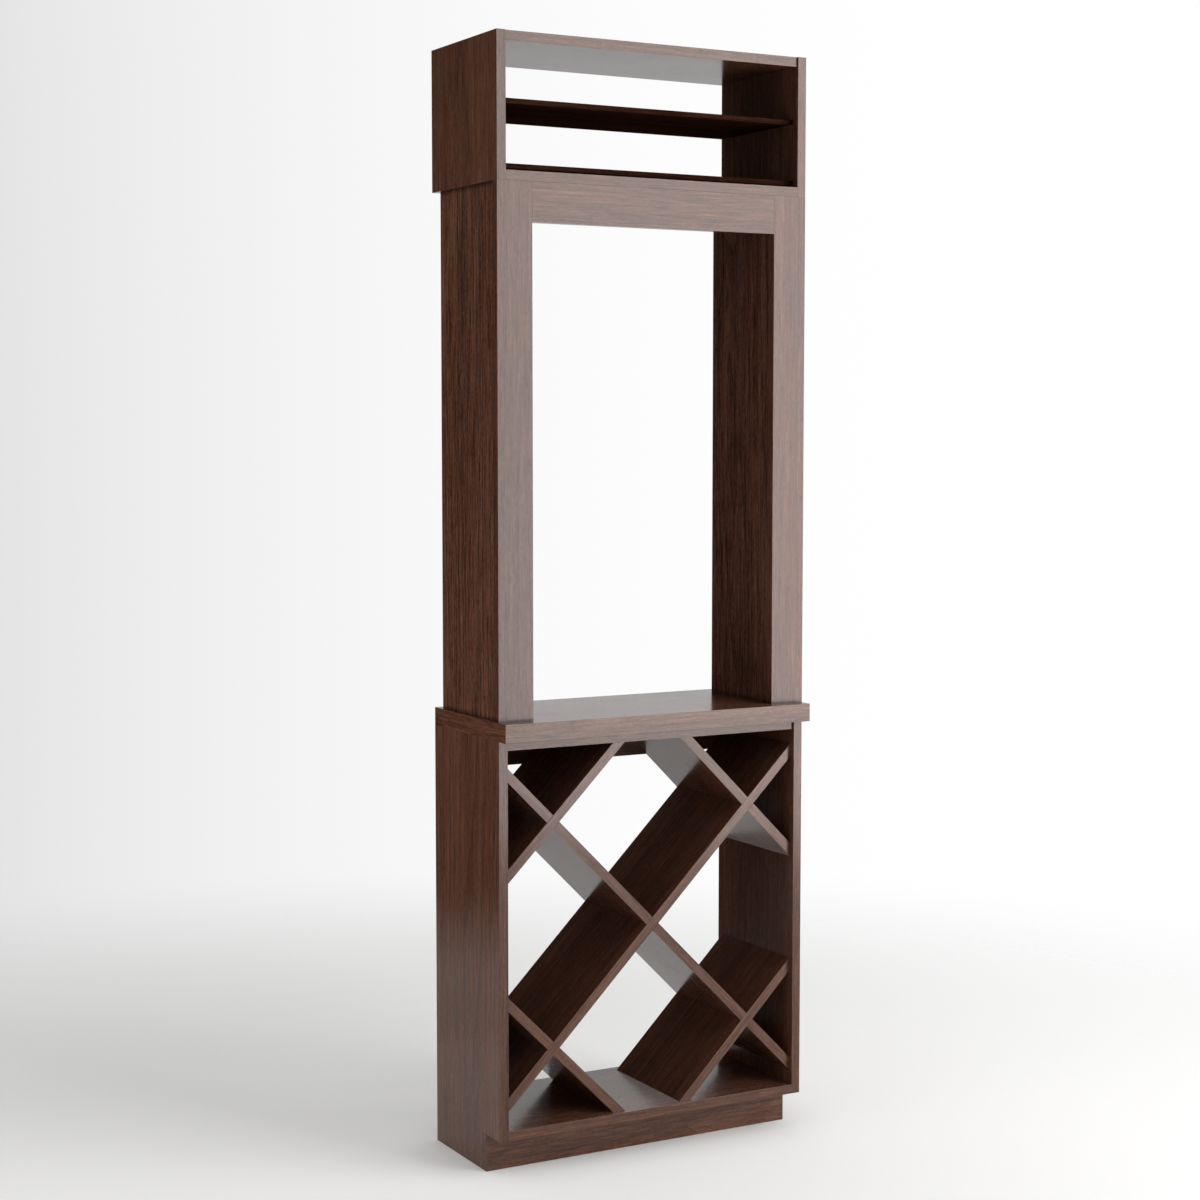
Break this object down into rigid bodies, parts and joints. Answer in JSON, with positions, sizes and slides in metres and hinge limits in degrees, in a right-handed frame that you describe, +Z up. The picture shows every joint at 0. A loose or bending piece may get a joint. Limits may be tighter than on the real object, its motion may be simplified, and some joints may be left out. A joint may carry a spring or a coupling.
{
  "type": "wine cabinet",
  "caption": "Tall open wine cabinet in dark walnut: a base with diamond bins, a table, box columns with a header and a top box with thin shelves.",
  "frame": {"origin": "on the floor, at the middle of the overall width and of the overall depth, which includes the table's overhang", "axes": "+Z up, +X to the right of a person facing the cabinet, +Y from the front to the back"},
  "size_m": [0.69, 0.316, 2.181],
  "materials": {
    "walnut_panel": "dark walnut veneer, satin lacquer, fine grain along the board",
    "walnut_front": "dark walnut veneer and edge band, satin lacquer",
    "walnut_inside": "dark walnut veneer, satin lacquer, on the inside panels",
    "stained_shelf": "thin shelf board, stained very dark brown, matt",
    "hardwood_block": "bare sawn hardwood",
    "beech_dowel": "bare turned beech",
    "zinc_screw": "bright zinc plating"
  },
  "bodies": {
    "root": {"base_side_left": "walnut_panel", "base_side_right": "walnut_panel", "plinth_rail": "walnut_panel", "table_top": "walnut_panel", "column_outer_left": "walnut_panel", "column_outer_right": "walnut_panel", "column_inner_left": "walnut_panel", "column_inner_right": "walnut_panel", "column_back_left": "walnut_panel", "column_back_right": "walnut_panel", "box_side_left": "walnut_panel", "box_side_right": "walnut_panel", "toe_board": "walnut_front", "stile_left": "walnut_front", "stile_right": "walnut_front", "header": "walnut_front", "box_bottom": "walnut_front", "box_top": "walnut_front", "long_divider_rising": "walnut_front", "long_divider_falling": "walnut_front", "short_divider_upper_left": "walnut_front", "short_divider_upper_right": "walnut_front", "short_divider_lower_left": "walnut_front", "short_divider_lower_right": "walnut_front", "base_bottom": "walnut_inside", "base_top": "walnut_inside", "base_back_rail": "walnut_inside", "lower_shelf": "stained_shelf", "upper_shelf": "stained_shelf", "glue_blocks": "hardwood_block", "foot_block_left": "hardwood_block", "foot_block_right": "hardwood_block", "head_block_left": "hardwood_block", "head_block_right": "hardwood_block", "base_dowels": "beech_dowel", "divider_pins": "beech_dowel", "frame_dowels": "beech_dowel", "box_dowels": "beech_dowel", "table_screws": "zinc_screw", "foot_screws": "zinc_screw", "box_screws": "zinc_screw"}
  },
  "joints": []
}
